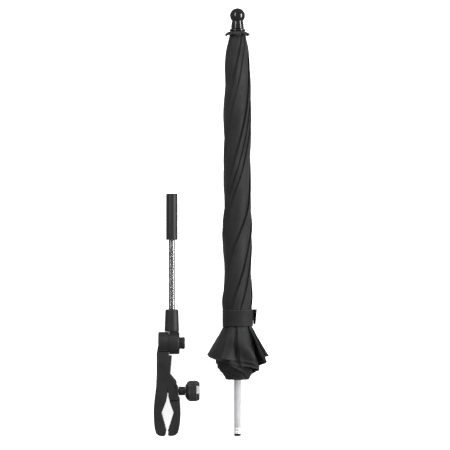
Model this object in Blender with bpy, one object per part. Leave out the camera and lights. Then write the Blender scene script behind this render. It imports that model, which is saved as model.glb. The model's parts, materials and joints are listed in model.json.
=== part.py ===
"""A small clip-on umbrella, furled and tied, lying beside its gooseneck clamp.

The object lies on its back on the plane z = 0. X runs from the clamp to the umbrella, Y from the
jaws to the ball cap, Z up from the surface. All lengths are in metres.
"""
from math import atan2, cos, hypot, pi, radians, sin

import bmesh
import bpy
from mathutils import Matrix, Vector

# ---- driving dimensions -------------------------------------------------------------------------
HALF_LENGTH = 0.2996        # ball cap and pole end lie this far from the middle
HALF_WIDTH = 0.0808         # jaw on the left, hem petal on the right
GAP = 0.0003                # kept between pieces that touch
WELD_DISTANCE = 0.00001     # joins the doubled points that a Boolean leaves

# umbrella
UMBRELLA_X = 0.0365         # pole axis
UMBRELLA_Z = 0.0225
POLE_R = 0.005
POLE_BORE_R = 0.0042
RIB_COUNT = 8
RIB_PHASE = radians(22.5)   # no rib points straight at the clamp
RIB_LENGTH = 0.470
RIB_R = 0.0013
RIB_HINGE_R = 0.0095        # rib hinge circle on the notch
HUB_BORE_R = 0.0054         # notch and runner, round the pole
NOTCH_Y = 0.256             # height of the rib hinges
STRETCHER_LENGTH = 0.225
STRETCHER_R = 0.0011
STRETCHER_HINGE_R = 0.007   # stretcher hinge circle on the runner
STRETCHER_OFFSET = 0.0028   # stretchers lie beside their ribs
RUNNER_DROP = 0.440         # from the notch down to the closed runner
RUNNER_Y = NOTCH_Y - RUNNER_DROP
GORE_R = 0.0132

# clamp
CLAMP_X = -0.0556           # gooseneck and sleeve axis
CLAMP_Z = 0.0156
TILT_Y = -0.1697            # tilt axis, along X
BOSS_R = 0.0156
BOSS_SPLIT_X = -0.0595
NECK_R = 0.0045
NECK_TOP = -0.0252
NECK_FOOT = -0.1225
NECK_HINGES = 5
BEND_SLOPE = 0.19           # cone on each segment end, a little over half of one hinge's 18 degrees
JAW_DEPTH = 0.028
JAW_MID_Z = JAW_DEPTH / 2
JAW_PIVOT = (-0.0545, -0.2254)
CHEEK_DEPTH = 0.0037        # thickness of the body's two plates over the moving jaw
CHEEK_FOOT = -0.2488
KNUCKLE_R = 0.0052
SCREW_Y = -0.237
SCREW_R = 0.0029
JAW_TEETH = 8
JAW_STEPS = 6                # finer teeth between the wide part and the pivot
STEP_DEPTH = 0.0005
TOOTH_DEPTH = 0.0013


# ---- materials ----------------------------------------------------------------------------------
def material(name, colour, roughness, metallic=0.0):
    """A Principled BSDF material."""
    made = bpy.data.materials.new(name)
    made.use_nodes = True
    shader = made.node_tree.nodes["Principled BSDF"]
    shader.inputs["Base Color"].default_value = (*colour, 1.0)
    shader.inputs["Roughness"].default_value = roughness
    shader.inputs["Metallic"].default_value = metallic
    return made


# ---- mesh helpers -------------------------------------------------------------------------------
def place(axis, centre):
    """Matrix that turns the local Z axis to lie along axis, with its origin at centre."""
    turn = Vector((0, 0, 1)).rotation_difference(Vector(axis)).to_matrix().to_4x4()
    return Matrix.Translation(centre) @ turn


def add_object(name, bm, look, smooth=True):
    """Turn a bmesh in world space into a named object."""
    bmesh.ops.remove_doubles(bm, verts=bm.verts, dist=1e-6)
    bmesh.ops.recalc_face_normals(bm, faces=bm.faces)
    mesh = bpy.data.meshes.new(name)
    bm.to_mesh(mesh)
    bm.free()
    made = bpy.data.objects.new(name, mesh)
    bpy.context.collection.objects.link(made)
    mesh.materials.append(look)
    if smooth:
        mesh.shade_smooth()
        mesh.set_sharp_from_angle(angle=radians(35))
    return made


def revolve(profile, matrix, sides, closed):
    """A solid of revolution from (radius, height) points; closed joins the last to the first."""
    bm = bmesh.new()
    rings = []
    for radius, height in profile:
        if radius == 0:
            rings.append([bm.verts.new(matrix @ Vector((0, 0, height)))])
            continue
        ring = []
        for step in range(sides):
            angle = 2 * pi * step / sides
            around = Vector((radius * cos(angle), radius * sin(angle), height))
            ring.append(bm.verts.new(matrix @ around))
        rings.append(ring)
    pairs = list(zip(rings, rings[1:]))
    if closed:
        pairs.append((rings[-1], rings[0]))
    for low, high in pairs:
        for step in range(sides):
            after = (step + 1) % sides
            corners = [low[step % len(low)], low[after % len(low)],
                       high[after % len(high)], high[step % len(high)]]
            face = list(dict.fromkeys(corners))
            if len(face) > 2:
                bm.faces.new(face)
    return bm


def turned(name, profile, look, axis, centre, sides=24, closed=False):
    """A turned piece; its profile gives radius and distance along axis from centre."""
    return add_object(name, revolve(profile, place(axis, centre), sides, closed), look)


def tube_profile(inner, outer, low, high):
    """Closed profile of a plain ring."""
    return [(inner, low), (outer, low), (outer, high), (inner, high)]


def rod_profile(radius, low, high, edge=0.0):
    """Profile of a plain shaft with chamfered ends."""
    return [(0, low), (radius - edge, low), (radius, low + edge),
            (radius, high - edge), (radius - edge, high), (0, high)]


def prism(name, outline, low, high, look, edge=0.0):
    """An outline in X and Y, extruded from z = low to z = high."""
    bm = bmesh.new()
    base = bm.faces.new([bm.verts.new((x, y, low)) for x, y in outline])
    moved = bmesh.ops.extrude_face_region(bm, geom=[base])["geom"]
    verts = [item for item in moved if isinstance(item, bmesh.types.BMVert)]
    bmesh.ops.translate(bm, verts=verts, vec=(0, 0, high - low))
    made = add_object(name, bm, look)
    if edge:
        bevel = made.modifiers.new("edge", "BEVEL")
        bevel.width = edge
        bevel.segments = 1
        bevel.limit_method = "ANGLE"
        bevel.angle_limit = radians(85)
    return made


def block(name, low, high, look):
    """A box between two corners."""
    outline = [(low[0], low[1]), (high[0], low[1]), (high[0], high[1]), (low[0], high[1])]
    return prism(name, outline, low[2], high[2], look)


def combine(target, other, operation):
    """Boolean with a hidden guide object."""
    other.hide_render = True
    other.display_type = "WIRE"
    modifier = target.modifiers.new(other.name, "BOOLEAN")
    modifier.operation = operation
    modifier.object = other
    modifier.solver = "EXACT"
    weld = target.modifiers.new("weld", "WELD")
    weld.merge_threshold = WELD_DISTANCE


def cut(target, *others):
    """Cut each guide out of the target."""
    for other in others:
        combine(target, other, "DIFFERENCE")


def fuse(target, *others):
    """Join each guide to the target."""
    for other in others:
        combine(target, other, "UNION")


def guide_rod(name, radius, low, high, axis, centre, look, sides=24):
    """A plain shaft used as a guide."""
    return turned(name, rod_profile(radius, low, high), look, axis, centre, sides)


def arc(centre, radius, start, end, steps):
    """Points on an arc, in degrees, ends included."""
    points = []
    for step in range(steps + 1):
        angle = radians(start + (end - start) * step / steps)
        points.append((centre[0] + radius * cos(angle), centre[1] + radius * sin(angle)))
    return points


def serrated(start, end, count, side, depth):
    """A run of gripping teeth from start to end; side is the way that their tips point."""
    run = Vector(end) - Vector(start)
    point = Vector((run.y, -run.x)).normalized() * side * depth
    points = []
    for tooth in range(count):
        points.append(tuple(Vector(start) + run * tooth / count))
        points.append(tuple(Vector(start) + run * (tooth + 0.5) / count + point))
    points.append(tuple(end))
    return points


# ---- umbrella -----------------------------------------------------------------------------------
UP = (0, 1, 0)


def pole_axis(height=0.0):
    """A point on the pole's axis."""
    return (UMBRELLA_X, height, UMBRELLA_Z)


def rib_angle(number):
    """Azimuth of a rib round the pole."""
    return RIB_PHASE + 2 * pi * number / RIB_COUNT


def beside_pole(number, radial, sideways, height):
    """A point given in one rib's plane."""
    angle = rib_angle(number)
    return (UMBRELLA_X + radial * cos(angle) - sideways * sin(angle), height,
            UMBRELLA_Z + radial * sin(angle) + sideways * cos(angle))


def make_pole(steel, plastic):
    """Pole tube with the plug in its foot."""
    profile = tube_profile(POLE_BORE_R, POLE_R, -HALF_LENGTH + 0.0033, 0.266)
    turned("pole_tube", profile, steel, UP, pole_axis(), 24, closed=True)
    foot = [(0, -HALF_LENGTH), (0.0042, -HALF_LENGTH), (0.0049, -HALF_LENGTH + 0.0007),
            (0.0049, -HALF_LENGTH + 0.003), (0.0039, -HALF_LENGTH + 0.003),
            (0.0039, -HALF_LENGTH + 0.012), (0, -HALF_LENGTH + 0.012)]
    turned("pole_plug", foot, plastic, UP, pole_axis())
    rivet = rod_profile(0.0012, -POLE_R - 0.0011, POLE_R + 0.0011, 0.0004)
    turned("runner_stop", rivet, steel, (0, 0, 1), pole_axis(RUNNER_Y - 0.012), 12)
    hole = guide_rod("stop_hole", 0.0015, -0.01, 0.01, (0, 0, 1), pole_axis(RUNNER_Y - 0.012),
                     steel, 12)
    cut(bpy.data.objects["pole_tube"], hole)


def make_ferrule(plastic):
    """Ball cap on its neck, over a flat collar; both are bored for the pole's top."""
    ball_y, ball_r = 0.2889, 0.0107
    profile = [(0, 0.2665), (0.0039, 0.2665), (0.0039, 0.2703), (0.0091, 0.2703), (0.0088, 0.277)]
    profile += [(ball_r * cos(a), ball_y + ball_r * sin(a))
                for a in (radians(-48 + 23 * step) for step in range(6))]
    profile.append((0, HALF_LENGTH))
    turned("ball_cap", profile, plastic, UP, pole_axis())
    collar = [(0.0054, 0.2672), (0.0106, 0.2672), (0.0113, 0.2679), (0.0113, 0.2692),
              (0.0106, 0.2699), (0.0054, 0.2699)]
    turned("ferrule_collar", collar, plastic, UP, pole_axis(), 24, closed=True)


def make_ruffle(fabric):
    """Cloth washer under the collar, its rim turned down over the canopy's top."""
    ruffle = [(0.0054, 0.2636), (0.0135, 0.2634), (0.0158, 0.2618), (0.0164, 0.2593),
              (0.0177, 0.2593), (0.0176, 0.2632), (0.0155, 0.2662), (0.0054, 0.2666)]
    turned("ruffle", ruffle, fabric, UP, pole_axis(), 28, closed=True)


def toothed_hub(name, root, tip, half_width, phase, heights, look):
    """A ring round the pole whose teeth stand between the arms, with a plain disc on one side.

    heights are the teeth's open side, the teeth's disc side and the far face of the disc.
    """
    teeth, disc, bore = [], [], []
    for tooth in range(RIB_COUNT):
        middle = phase + 2 * pi * tooth / RIB_COUNT
        for radius, side in ((root, -1), (tip, -1), (tip, 1), (root, 1)):
            angle = middle + side * half_width / radius
            teeth.append((radius * cos(angle), radius * sin(angle)))
            spread = middle + side * pi / RIB_COUNT * (1 / 4 if radius == tip else 3 / 4)
            disc.append(((tip + GAP) * cos(spread), (tip + GAP) * sin(spread)))
            bore.append((HUB_BORE_R * cos(spread), HUB_BORE_R * sin(spread)))
    start, step, end = heights
    layers = [(teeth, start), (teeth, step), (disc, step), (disc, end), (bore, end), (bore, start)]
    bm = bmesh.new()
    rings = [[bm.verts.new((UMBRELLA_X + x, height, UMBRELLA_Z + z)) for x, z in points]
             for points, height in layers]
    count = len(teeth)
    for ring, following in zip(rings, rings[1:] + rings[:1]):
        for number in range(count):
            after = (number + 1) % count
            bm.faces.new([ring[number], ring[after], following[after], following[number]])
    add_object(name, bm, look)


def make_hubs(plastic):
    """Fixed notch at the top and sliding runner below, each with slots for its arms."""
    half_pitch = pi / RIB_COUNT
    toothed_hub("top_notch", 0.0073, 0.0097, 0.0013, RIB_PHASE + half_pitch,
                (NOTCH_Y - 0.004, NOTCH_Y + 0.0025, NOTCH_Y + 0.0056), plastic)
    arm_angle = RIB_PHASE + atan2(STRETCHER_OFFSET, STRETCHER_HINGE_R)
    toothed_hub("runner", 0.0060, 0.0075, 0.0010, arm_angle + half_pitch,
                (RUNNER_Y + 0.004, RUNNER_Y - 0.003, RUNNER_Y - 0.0095), plastic)


def make_arms(steel):
    """Ribs with ball tips, and the stretchers that push them open."""
    rib = [(0, 0.0012), (0.0009, 0.0008), (RIB_R, 0), (RIB_R, -RIB_LENGTH + 0.006),
           (0.0021, -RIB_LENGTH + 0.004), (0.0021, -RIB_LENGTH + 0.001),
           (0.0012, -RIB_LENGTH - 0.0006), (0, -RIB_LENGTH - 0.001)]
    stretcher = rod_profile(STRETCHER_R, -0.0009, STRETCHER_LENGTH + 0.0009, 0.0006)
    for number in range(RIB_COUNT):
        at_notch = beside_pole(number, RIB_HINGE_R, 0, NOTCH_Y)
        turned(f"rib_{number + 1}", rib, steel, UP, at_notch, 10)
        at_runner = beside_pole(number, STRETCHER_HINGE_R, STRETCHER_OFFSET, RUNNER_Y)
        turned(f"stretcher_{number + 1}", stretcher, steel, UP, at_runner, 8)


def make_gores(fabric):
    """One folded strip of canopy cloth along the outside of each rib."""
    half_width, thickness, top, foot = 0.0024, 0.0007, 0.215, -0.195
    for number in range(RIB_COUNT):
        bm = bmesh.new()
        corners = []
        for height in (foot, top):
            for radial, side in ((0, -1), (0, 1), (thickness, 1), (thickness, -1)):
                point = beside_pole(number, GORE_R + radial, side * half_width, height)
                corners.append(bm.verts.new(point))
        low, high = corners[:4], corners[4:]
        bm.faces.new(low)
        bm.faces.new(high)
        for step in range(4):
            after = (step + 1) % 4
            bm.faces.new([low[step], low[after], high[after], high[step]])
        add_object(f"gore_{number + 1}", bm, fabric, smooth=False)


def lie_flat(x, y):
    """Press a wide ring of cloth flat where it lies on the surface."""
    reach = hypot(x, y)
    most = UMBRELLA_Z - 0.0001
    if reach <= most:
        return x, y
    return x, y * most / reach


def make_canopy(fabric):
    """Furled cloth from the notch to the hem: a hollow roll, a flared skirt and a gathered foot."""
    outer = [(0.0056, 0.2631), (0.0095, 0.2629), (0.0126, 0.2605), (0.0133, 0.2576), (0.0160, 0.241),
             (0.0173, 0.218), (0.0183, 0.185), (0.0195, 0.160), (0.0200, 0.130), (0.0191, 0.100),
             (0.0197, 0.028), (0.0205, -0.017), (0.0198, -0.073), (0.0211, -0.106),
             (0.0200, -0.114), (0.0202, -0.147), (0.0300, -0.165), (0.0436, -0.193),
             (0.0278, -0.1945), (0.0262, -0.208), (0.0180, -0.2205)]
    inner = [(0.0150, -0.2205), (0.0158, -0.200), (0.0158, 0.215), (0.0145, 0.241),
             (0.0108, 0.2585), (0.0108, 0.2622), (0.0056, 0.2622)]
    local = [(radius, height) for radius, height in reversed(outer + inner)]
    roll = turned("canopy_roll", local, fabric, UP, pole_axis(), 28, closed=True)
    for vertex in roll.data.vertices:
        x, z = lie_flat(vertex.co.x - UMBRELLA_X, vertex.co.z - UMBRELLA_Z)
        vertex.co.x = UMBRELLA_X + x
        vertex.co.z = UMBRELLA_Z + z
    widest = max(vertex.co.x for vertex in roll.data.vertices)
    for vertex in roll.data.vertices:
        if vertex.co.x > widest - 0.0001:
            vertex.co.x = HALF_WIDTH


def make_strap(fabric):
    """Closing strap round the roll, with its tapered loose end standing out at the side."""
    inner, outer, foot, top = 0.0205, 0.0214, -0.1460, -0.1225
    turned("tie_strap", tube_profile(inner, outer, foot, top), fabric, UP, pole_axis(), 28,
           closed=True)
    tab = [(outer + 0.0003, -0.1221), (outer + 0.0059, -0.1224), (outer + 0.0042, -0.1431),
           (outer + 0.0011, -0.1431)]
    outline = [(UMBRELLA_X + reach, height) for reach, height in tab]
    prism("strap_end", outline, UMBRELLA_Z - 0.0007, UMBRELLA_Z + 0.0007, fabric)


# ---- clamp --------------------------------------------------------------------------------------
def fixed_jaw_outline():
    """Left jaw and body: outer edge down, serrated inner edge up, ear round the jaw pivot."""
    points = [(-0.0745, -0.172), (-0.0766, -0.1834), (-0.0766, -0.212), (-0.0775, -0.231),
              (-0.0797, -0.2492), (-0.0807, -0.261), (-HALF_WIDTH, -0.2676), (-0.0805, -0.2772),
              (-0.0797, -0.2870), (-0.0778, -0.2950), (-0.0748, -0.2983), (-0.0710, -HALF_LENGTH),
              (-0.0662, -HALF_LENGTH), (-0.0643, -0.2981)]
    points += serrated((-0.0638, -0.2935), (-0.0706, -0.2681), JAW_TEETH, 1, TOOTH_DEPTH)
    points += serrated((-0.0702, -0.2672), (-0.0634, -0.2505), JAW_STEPS, 1, STEP_DEPTH)
    points += [(-0.0621, -0.2440), (-0.0621, -0.2335)]
    points += arc(JAW_PIVOT, 0.0056, -150, 60, 10)
    points += [(-0.0577, -0.2130), (-0.0557, -0.1875), (-0.0600, -0.1875), (-0.0600, -0.172)]
    return points


def moving_jaw_outline():
    """Right jaw, with its knuckle at the top."""
    points = arc(JAW_PIVOT, KNUCKLE_R, 225, -10, 12)
    points += [(-0.0468, -0.2320), (-0.0466, -0.2438), (-0.0447, -0.2470), (-0.0437, -0.2604),
               (-0.0433, -0.2688), (-0.0437, -0.2772), (-0.0447, -0.2870), (-0.0466, -0.2945),
               (-0.0495, -0.2978), (-0.0540, -0.2994), (-0.0588, -0.2994), (-0.0608, -0.2981)]
    points += serrated((-0.0602, -0.2935), (-0.0522, -0.2681), JAW_TEETH, -1, TOOTH_DEPTH)
    points += serrated((-0.0525, -0.2672), (-0.0586, -0.2505), JAW_STEPS, -1, STEP_DEPTH)
    points += [(-0.0604, -0.2440), (-0.0603, -0.2350)]
    return points


def cheek_outline():
    """Plate that hides the jaw pivot, from the body's slanted edge to a seam across the jaw."""
    return [(-0.0625, -0.2130), (-0.0577, -0.2130), (-0.0468, -0.2464),
            (-0.0474, CHEEK_FOOT), (-0.0588, CHEEK_FOOT), (-0.0594, -0.2390),
            (-0.0615, -0.2345), (-0.0625, -0.2280)]


def make_fixed_jaw(plastic, dark):
    """Body of the clamp: left jaw, ears for the jaw pin, left tilt boss and nut pocket."""
    body = prism("clamp_body", fixed_jaw_outline(), 0, JAW_DEPTH, plastic, 0.0008)
    rim = [(0, -0.0745), (BOSS_R - 0.0009, -0.0745), (BOSS_R - 0.0003, -0.0742), (BOSS_R, -0.0736),
           (BOSS_R, BOSS_SPLIT_X), (0, BOSS_SPLIT_X)]
    boss = turned("left_boss", rim, plastic, (1, 0, 0), (0, TILT_Y, CLAMP_Z), 36)
    swing = guide_rod("right_boss_room", BOSS_R + GAP, BOSS_SPLIT_X - 0.0001, -0.040, (1, 0, 0),
                      (0, TILT_Y, CLAMP_Z), plastic, 36)
    fuse(body, boss)
    for name, low in (("lower_cheek", 0), ("upper_cheek", JAW_DEPTH - CHEEK_DEPTH)):
        fuse(body, prism(name, cheek_outline(), low, low + CHEEK_DEPTH, plastic))
    middle = (*JAW_PIVOT, JAW_MID_Z)
    knuckle_room = guide_rod("knuckle_room", KNUCKLE_R + 0.0009, -0.0075, 0.0075, (0, 0, 1), middle,
                             plastic)
    pin_hole = guide_rod("pin_hole", 0.0020, -0.0110, 0.0110, (0, 0, 1), middle, plastic, 16)
    screw = (0, SCREW_Y, JAW_MID_Z)
    screw_hole = guide_rod("screw_hole", 0.0034, -0.0735, -0.050, (1, 0, 0), screw, plastic, 16)
    nut_room = guide_rod("nut_room", 0.0062, -0.0668, -0.050, (1, 0, 0), screw, plastic, 6)
    bolt_hole = guide_rod("bolt_hole", 0.0029, -0.0726, -0.050, (1, 0, 0), (0, TILT_Y, CLAMP_Z),
                          plastic, 16)
    ring_room = guide_rod("ring_room", 0.0128, BOSS_SPLIT_X - 0.0025, -0.055, (1, 0, 0),
                          (0, TILT_Y, CLAMP_Z), plastic)
    cap_room = guide_rod("cap_room", 0.0123, -0.080, -0.0727, (1, 0, 0), (0, TILT_Y, CLAMP_Z),
                         plastic)
    groove = block("boss_groove", (-0.0790, -0.1817, 0.0240), (-0.0580, -0.1803, 0.0300), plastic)
    cut(body, swing, knuckle_room, pin_hole, screw_hole, nut_room, bolt_hole, ring_room, cap_room,
        groove)
    turned("boss_cap", rod_profile(0.0119, -0.0743, -0.0730, 0.0004), dark, (1, 0, 0),
           (0, TILT_Y, CLAMP_Z))
    turned("tilt_bolt", rod_profile(0.0025, -0.0722, -0.0545, 0.0003), dark, (1, 0, 0),
           (0, TILT_Y, CLAMP_Z), 16)
    ring = tube_profile(0.0070, 0.0124, BOSS_SPLIT_X - 0.0022, BOSS_SPLIT_X - 0.0004)
    turned("tilt_ring", ring, dark, (1, 0, 0), (0, TILT_Y, CLAMP_Z), 24, closed=True)


def make_moving_jaw(plastic, steel):
    """Right jaw, slotted for the screw, on its pin."""
    jaw = prism("moving_jaw", moving_jaw_outline(), 0, JAW_DEPTH, plastic, 0.0008)
    middle = (*JAW_PIVOT, JAW_MID_Z)
    for name, low, high in (("lower_ear_room", -0.0145, -0.0072), ("upper_ear_room", 0.0072, 0.0145)):
        cut(jaw, guide_rod(name, 0.0061, low, high, (0, 0, 1), middle, plastic))
    under_cheek = CHEEK_DEPTH + GAP
    for name, low, high in (("lower_cheek_room", -0.001, under_cheek),
                            ("upper_cheek_room", JAW_DEPTH - under_cheek, JAW_DEPTH + 0.001)):
        cut(jaw, block(name, (-0.0700, CHEEK_FOOT - 0.0016, low), (-0.0300, -0.2100, high), plastic))
    cut(jaw, guide_rod("knuckle_hole", 0.0022, -0.02, 0.02, (0, 0, 1), middle, plastic, 16))
    cut(jaw, block("screw_slot", (-0.070, SCREW_Y - 0.0070, JAW_MID_Z - 0.0034),
                   (-0.035, SCREW_Y + 0.0051, JAW_MID_Z + 0.0034), plastic))
    turned("jaw_pin", rod_profile(0.0016, -0.0107, 0.0107, 0.0003), steel, (0, 0, 1), middle, 16)


def make_screw(plastic, steel, dark):
    """Clamping screw with its faceted knob, thrust collar and captive nut."""
    at_screw = (0, SCREW_Y, JAW_MID_Z)
    turned("clamp_screw", rod_profile(SCREW_R, -0.0722, -0.0250, 0.0005), steel, (1, 0, 0),
           at_screw, 16)
    collar = [(0.0034, -0.0462), (0.0058, -0.0462), (0.0061, -0.0459), (0.0061, -0.0369),
              (0.0034, -0.0369)]
    turned("thrust_collar", collar, dark, (1, 0, 0), at_screw, 24, closed=True)
    turned("clamp_nut", tube_profile(0.0036, 0.0058, -0.0665, -0.0616), steel, (1, 0, 0),
           at_screw, 6, closed=True)
    knob_r = 0.0139
    knob = [(0, -0.0247), (0.0032, -0.0247), (0.0032, -0.0366), (0.0075, -0.0366),
            (0.0095, -0.0338), (knob_r, -0.0325), (knob_r, -0.0185), (0.0120, -0.0166),
            (0, -0.0166)]
    turned("clamp_knob", knob, plastic, (1, 0, 0), at_screw, 8)


def make_tilt_head(plastic, dark, steel):
    """Right tilt boss and neck socket in one moulding, with the release button in its side."""
    at_tilt = (0, TILT_Y, CLAMP_Z)
    left, right = BOSS_SPLIT_X + GAP, -0.0448
    boss = [(0, left), (BOSS_R - 0.0003, left), (BOSS_R, left + 0.0003), (BOSS_R, right - 0.0018),
            (BOSS_R - 0.0005, right - 0.0006), (BOSS_R - 0.0018, right), (0, right)]
    head = turned("neck_socket", boss, plastic, (1, 0, 0), at_tilt, 36)
    at_neck = (CLAMP_X, 0, CLAMP_Z)
    socket = [(0, -0.1536), (0.0096, -0.1536), (0.0102, -0.1520), (0.0098, -0.1400),
              (0.0093, -0.1246), (0.0089, -0.1230), (0.0081, NECK_FOOT), (0, NECK_FOOT)]
    web = block("socket_web", (BOSS_SPLIT_X + 2 * GAP, -0.1620, CLAMP_Z - 0.0085),
                (-0.0460, -0.1525, CLAMP_Z + 0.0085), plastic)
    fuse(head, turned("socket_body", socket, plastic, UP, at_neck), web)
    neck_hole = guide_rod("neck_hole", NECK_R + GAP, -0.1380, -0.10, UP, at_neck, plastic)
    button_room = guide_rod("button_room", 0.0088, -0.0541, -0.030, (1, 0, 0), at_tilt, plastic)
    bolt_room = guide_rod("bolt_room", 0.0029, -0.070, -0.050, (1, 0, 0), at_tilt, plastic, 16)
    cut(head, neck_hole, button_room, bolt_room)
    button = [(0, -0.0475), (0.0085, -0.0475), (0.0085, -0.0386), (0.0074, -0.0373), (0, -0.0370)]
    turned("release_button", button, dark, (1, 0, 0), at_tilt)
    turned("button_spring", tube_profile(0.0045, 0.0060, -0.0538, -0.0478), steel, (1, 0, 0),
           at_tilt, 16, closed=True)


def neck_hinge(number):
    """Height of one bending point of the gooseneck, counted from the socket."""
    stretch = (NECK_TOP - NECK_FOOT) / NECK_HINGES
    return NECK_FOOT + stretch * (number + 0.5)


def make_gooseneck(steel):
    """Six short lengths of flexible metal neck that meet at the bending points."""
    breaks = [neck_hinge(number) for number in range(NECK_HINGES)]
    starts = [-0.1360] + [height + GAP / 2 for height in breaks]
    ends = [height - GAP / 2 for height in breaks] + [-0.0130]
    cone = NECK_R * BEND_SLOPE
    for number, (low, high) in enumerate(zip(starts, ends)):
        foot = 0.0002 if number == 0 else cone
        head = 0.0002 if number == NECK_HINGES else cone
        profile = [(0, low), (NECK_R, low + foot), (NECK_R, high - head), (0, high)]
        turned(f"neck_segment_{number + 1}", profile, steel, UP, (CLAMP_X, 0, CLAMP_Z))


def make_sleeve(plastic):
    """Socket tube that holds the umbrella's pole, on top of the gooseneck."""
    radius, mouth, foot = 0.00805, 0.0399, NECK_TOP
    bore, floor, neck_bore, neck_end = 0.0053, -0.0090, NECK_R + GAP, -0.0122
    profile = [(0, floor), (bore, floor), (bore, mouth - 0.0006), (bore + 0.0006, mouth),
               (radius - 0.0012, mouth), (radius, mouth - 0.0014), (radius, foot + 0.0008),
               (radius - 0.0008, foot), (neck_bore, foot), (neck_bore, neck_end), (0, neck_end)]
    turned("pole_sleeve", profile, plastic, UP, (CLAMP_X, 0, CLAMP_Z), 32)


def main():
    """Clear the scene and build every piece."""
    for leftover in list(bpy.data.objects):
        bpy.data.objects.remove(leftover)
    fabric = material("canopy_fabric", (0.035, 0.035, 0.037), 0.85)
    strap = material("strap_fabric", (0.03, 0.03, 0.032), 0.8)
    gloss = material("gloss_black_plastic", (0.012, 0.012, 0.013), 0.18)
    matte = material("matte_black_plastic", (0.04, 0.04, 0.042), 0.5)
    inner = material("inner_black_plastic", (0.02, 0.02, 0.021), 0.45)
    pole = material("pole_steel", (0.62, 0.62, 0.63), 0.28, 1.0)
    frame = material("frame_steel", (0.45, 0.45, 0.46), 0.35, 1.0)
    neck = material("neck_steel", (0.55, 0.55, 0.56), 0.22, 1.0)

    make_pole(pole, inner)
    make_ferrule(gloss)
    make_ruffle(fabric)
    make_hubs(inner)
    make_arms(frame)
    make_gores(fabric)
    make_canopy(fabric)
    make_strap(strap)
    make_fixed_jaw(matte, inner)
    make_moving_jaw(matte, frame)
    make_screw(inner, frame, matte)
    make_tilt_head(matte, inner, frame)
    make_gooseneck(neck)
    make_sleeve(matte)


main()
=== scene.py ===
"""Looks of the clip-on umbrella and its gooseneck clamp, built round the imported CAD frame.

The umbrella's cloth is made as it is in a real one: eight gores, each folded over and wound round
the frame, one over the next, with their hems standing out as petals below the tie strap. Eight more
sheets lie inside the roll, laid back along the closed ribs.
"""
import json
from math import cos, erf, pi, radians, sin, sqrt

import bmesh
import bpy
import numpy as np
from mathutils import Matrix, Vector


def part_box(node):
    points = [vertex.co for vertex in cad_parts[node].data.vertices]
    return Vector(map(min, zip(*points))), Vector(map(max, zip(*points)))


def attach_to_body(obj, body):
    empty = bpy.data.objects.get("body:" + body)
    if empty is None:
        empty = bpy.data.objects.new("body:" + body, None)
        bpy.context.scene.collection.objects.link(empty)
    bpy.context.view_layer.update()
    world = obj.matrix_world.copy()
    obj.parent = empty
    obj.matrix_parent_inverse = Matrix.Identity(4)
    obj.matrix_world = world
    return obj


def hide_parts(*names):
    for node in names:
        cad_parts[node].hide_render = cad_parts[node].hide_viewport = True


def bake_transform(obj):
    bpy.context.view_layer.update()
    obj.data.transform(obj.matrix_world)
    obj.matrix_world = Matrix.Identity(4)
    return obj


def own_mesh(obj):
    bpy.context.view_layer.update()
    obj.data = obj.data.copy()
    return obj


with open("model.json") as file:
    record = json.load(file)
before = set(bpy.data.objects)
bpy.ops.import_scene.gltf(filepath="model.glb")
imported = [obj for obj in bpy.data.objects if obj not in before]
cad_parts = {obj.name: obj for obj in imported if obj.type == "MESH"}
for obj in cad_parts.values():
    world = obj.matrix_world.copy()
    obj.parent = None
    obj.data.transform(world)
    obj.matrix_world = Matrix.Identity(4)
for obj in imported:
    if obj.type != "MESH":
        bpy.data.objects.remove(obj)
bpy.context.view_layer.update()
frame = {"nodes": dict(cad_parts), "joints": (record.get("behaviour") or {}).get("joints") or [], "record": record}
nodes = frame["nodes"]

# ---- places read from the frame -----------------------------------------------------------------
MM = 0.001


def middle(node):
    """Middle of a CAD node's box."""
    low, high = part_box(node)
    return (Vector(low) + Vector(high)) / 2


def reach(node, axis):
    """Lowest and highest coordinate of a CAD node along X, Y or Z."""
    low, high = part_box(node)
    return low[axis], high[axis]


POLE = middle("pole_tube")
NECK = middle("pole_sleeve")
TILT = middle("release_button")
SCREW = middle("thrust_collar")
TOP_Y = reach("ball_cap", 1)[1]
UP = (0, 1, 0)
SIDE = (1, 0, 0)


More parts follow.
